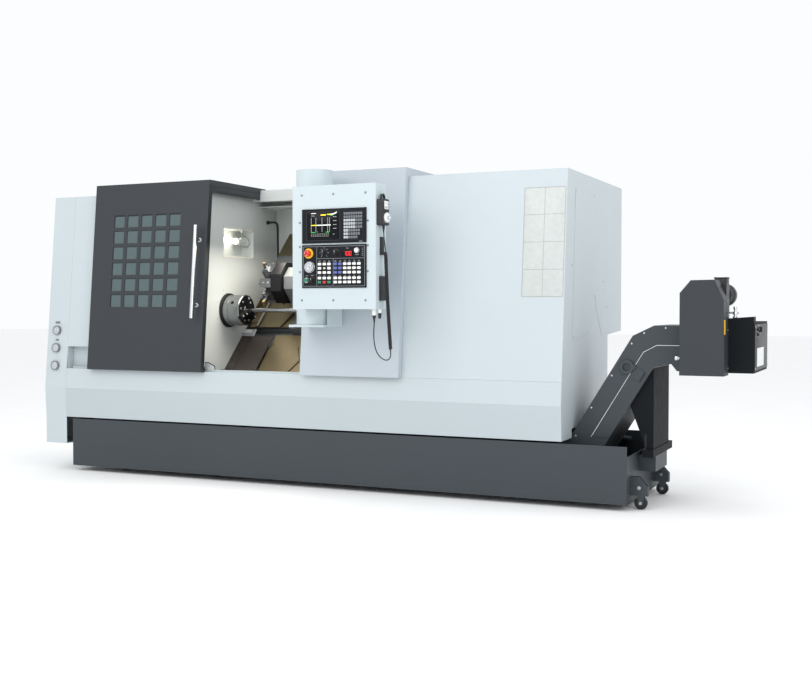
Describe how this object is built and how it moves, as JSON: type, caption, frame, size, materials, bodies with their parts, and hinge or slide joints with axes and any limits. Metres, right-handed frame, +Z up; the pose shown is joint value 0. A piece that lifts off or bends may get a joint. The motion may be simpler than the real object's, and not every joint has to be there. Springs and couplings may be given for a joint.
{
  "type": "cnc turning lathe",
  "caption": "Slant-bed turning lathe in a leaning white enclosure with a sliding guard door, swivelling control pendant, chip tray and chip conveyor.",
  "frame": {"origin": "middle of the overall base, on the floor", "axes": "+X right along the front, +Y away from the operator, +Z up"},
  "size_m": [4.8064, 1.8426, 1.986],
  "materials": {
    "white_paint": "satin powder coat",
    "grey_paint": "satin powder coat",
    "dark_paint": "satin powder coat",
    "cast_iron": "machined and painted",
    "steel": "ground",
    "chrome": "polished",
    "cover_steel": "oiled sheet",
    "dark_steel": "blackened",
    "black_plastic": "matt",
    "white_plastic": "satin",
    "red_plastic": "gloss",
    "green_plastic": "gloss",
    "window_glass": "tinted",
    "lamp": "glowing",
    "rubber": "matt",
    "cord": "matt"
  },
  "bodies": {
    "machine": {"bed_casting": "cast_iron", "levelling_feet": "steel", "chip_tray": "dark_paint", "front_skirt": "white_paint", "left_end_cover": "white_paint", "left_front_panel": "white_paint", "middle_panel": "grey_paint", "right_enclosure": "white_paint", "rear_panel": "white_paint", "electric_cabinet": "white_paint", "headstock_wall": "white_paint", "work_light": "lamp", "chip_guard": "dark_paint", "fixed_way_covers": "cover_steel", "headstock_casting": "cast_iron", "pressure_gauges": "chrome", "conveyor_housing": "dark_paint", "conveyor_belt": "steel", "drive_guard": "dark_paint", "gearmotor": "dark_paint", "control_box": "dark_paint", "support_leg": "dark_paint", "coolant_pump": "dark_paint", "pendant_bracket": "white_paint"},
    "door": {"door_panel": "dark_paint", "door_window": "window_glass", "door_handle": "chrome"},
    "pendant": {"pendant_box": "white_paint", "screen_unit": "black_plastic", "operator_panel": "black_plastic", "handheld_unit": "black_plastic", "handheld_cord": "cord", "handheld_lead": "cord"},
    "emergency_stop": {"emergency_stop": "red_plastic"},
    "start_button": {"start_button": "green_plastic"},
    "pulse_dial": {"pulse_dial": "chrome"},
    "feed_override_knob": {"feed_override_knob": "black_plastic"},
    "speed_override_knob": {"speed_override_knob": "black_plastic"},
    "mode_selector": {"mode_selector": "black_plastic"},
    "key_switch": {"key_switch": "white_plastic"},
    "handheld_dial": {"handheld_dial": "white_plastic"},
    "spindle": {"spindle_shaft": "steel", "chuck_body": "steel", "bar_stock": "steel"},
    "jaw_1": {"chuck_jaw_1": "dark_steel"},
    "jaw_2": {"chuck_jaw_2": "dark_steel"},
    "jaw_3": {"chuck_jaw_3": "dark_steel"},
    "carriage": {"carriage_saddle": "cast_iron", "carriage_cover": "cover_steel"},
    "way_cover_stage": {"way_cover_stage": "cover_steel"},
    "cross_slide": {"turret_base": "cast_iron"},
    "turret": {"turret_disc": "steel", "tool_holders": "steel"},
    "tailstock": {"tailstock_body": "cast_iron"},
    "quill": {"quill": "steel"},
    "live_centre": {"live_centre": "steel"},
    "caster_front": {"caster_wheel_front": "rubber"},
    "caster_rear": {"caster_wheel_rear": "rubber"},
    "cabinet_door": {"cabinet_door": "white_paint"},
    "control_switch": {"control_switch": "black_plastic"}
  },
  "joints": [
    {"name": "door_slide", "type": "slide", "parent": "machine", "child": "door", "axis": [1, 0, 0], "range_m": [0, 0.743]},
    {"name": "pendant_swivel", "type": "hinge", "parent": "machine", "child": "pendant", "pos_m": [-0.15715, -0.625, 1.2], "axis": [0, 0, 1], "range_deg": [-90, 0]},
    {"name": "emergency_stop_push", "type": "slide", "parent": "pendant", "child": "emergency_stop", "axis": [0, 1, 0], "range_m": [0, 0.005], "stiffness_N_per_m": 900},
    {"name": "start_button_push", "type": "slide", "parent": "pendant", "child": "start_button", "axis": [0, 1, 0], "range_m": [0, 0.003], "stiffness_N_per_m": 500},
    {"name": "pulse_dial_turn", "type": "hinge", "parent": "pendant", "child": "pulse_dial", "pos_m": [-0.04315, -0.885, 1.369], "axis": [0, -1, 0], "continuous": true},
    {"name": "feed_override_turn", "type": "hinge", "parent": "pendant", "child": "feed_override_knob", "pos_m": [0.05285, -0.885, 1.453], "axis": [0, -1, 0], "range_deg": [-140, 140]},
    {"name": "speed_override_turn", "type": "hinge", "parent": "pendant", "child": "speed_override_knob", "pos_m": [0.13085, -0.885, 1.451], "axis": [0, -1, 0], "range_deg": [-140, 140]},
    {"name": "mode_selector_turn", "type": "hinge", "parent": "pendant", "child": "mode_selector", "pos_m": [-0.02615, -0.885, 1.293], "axis": [0, -1, 0], "range_deg": [-45, 45]},
    {"name": "key_switch_turn", "type": "hinge", "parent": "pendant", "child": "key_switch", "pos_m": [0.26585, -0.885, 1.462], "axis": [0, -1, 0], "range_deg": [-90, 0]},
    {"name": "handheld_dial_turn", "type": "hinge", "parent": "pendant", "child": "handheld_dial", "pos_m": [0.42485, -0.834, 1.647], "axis": [1, 0, 0], "continuous": true},
    {"name": "spindle_turn", "type": "hinge", "parent": "machine", "child": "spindle", "pos_m": [-1.16915, -0.103, 1.115], "axis": [1, 0, 0], "continuous": true},
    {"name": "jaw_1_slide", "type": "slide", "parent": "spindle", "child": "jaw_1", "axis": [0, 0, 1], "range_m": [0, 0.005]},
    {"name": "jaw_2_slide", "type": "slide", "parent": "spindle", "child": "jaw_2", "axis": [0, -0.866, -0.5], "range_m": [0, 0.005]},
    {"name": "jaw_3_slide", "type": "slide", "parent": "spindle", "child": "jaw_3", "axis": [0, 0.866, -0.5], "range_m": [0, 0.005]},
    {"name": "carriage_slide", "type": "slide", "parent": "machine", "child": "carriage", "axis": [1, 0, 0], "range_m": [0, 0.56]},
    {"name": "way_cover_slide", "type": "slide", "parent": "machine", "child": "way_cover_stage", "axis": [1, 0, 0], "range_m": [0, 0.28]},
    {"name": "cross_slide", "type": "slide", "parent": "carriage", "child": "cross_slide", "axis": [0, 0.7071, 0.7071], "range_m": [-0.048, 0.12]},
    {"name": "turret_index", "type": "hinge", "parent": "cross_slide", "child": "turret", "pos_m": [-0.78415, 0.08438, 1.30238], "axis": [1, 0, 0], "continuous": true},
    {"name": "tailstock_slide", "type": "slide", "parent": "machine", "child": "tailstock", "axis": [1, 0, 0], "range_m": [0, 0.25]},
    {"name": "quill_slide", "type": "slide", "parent": "tailstock", "child": "quill", "axis": [1, 0, 0], "range_m": [0, 0.045]},
    {"name": "live_centre_turn", "type": "hinge", "parent": "quill", "child": "live_centre", "pos_m": [0.13085, -0.103, 1.115], "axis": [1, 0, 0], "continuous": true},
    {"name": "front_caster_roll", "type": "hinge", "parent": "machine", "child": "caster_front", "pos_m": [1.78885, -0.367, 0.036], "axis": [0, 1, 0], "continuous": true},
    {"name": "rear_caster_roll", "type": "hinge", "parent": "machine", "child": "caster_rear", "pos_m": [1.78885, 0.205, 0.036], "axis": [0, 1, 0], "continuous": true},
    {"name": "cabinet_door_hinge", "type": "hinge", "parent": "machine", "child": "cabinet_door", "pos_m": [1.34685, 0.8983, 1.4], "axis": [0, 0, 1], "range_deg": [-110, 0]},
    {"name": "control_switch_turn", "type": "hinge", "parent": "machine", "child": "control_switch", "pos_m": [2.37985, -0.105, 1.012], "axis": [1, 0, 0], "range_deg": [-45, 45]}
  ],
  "couplings": [
    {"joint": "jaw_2_slide", "follows": "jaw_1_slide", "ratio": 1},
    {"joint": "jaw_3_slide", "follows": "jaw_1_slide", "ratio": 1},
    {"joint": "way_cover_slide", "follows": "carriage_slide", "ratio": 0.5}
  ]
}
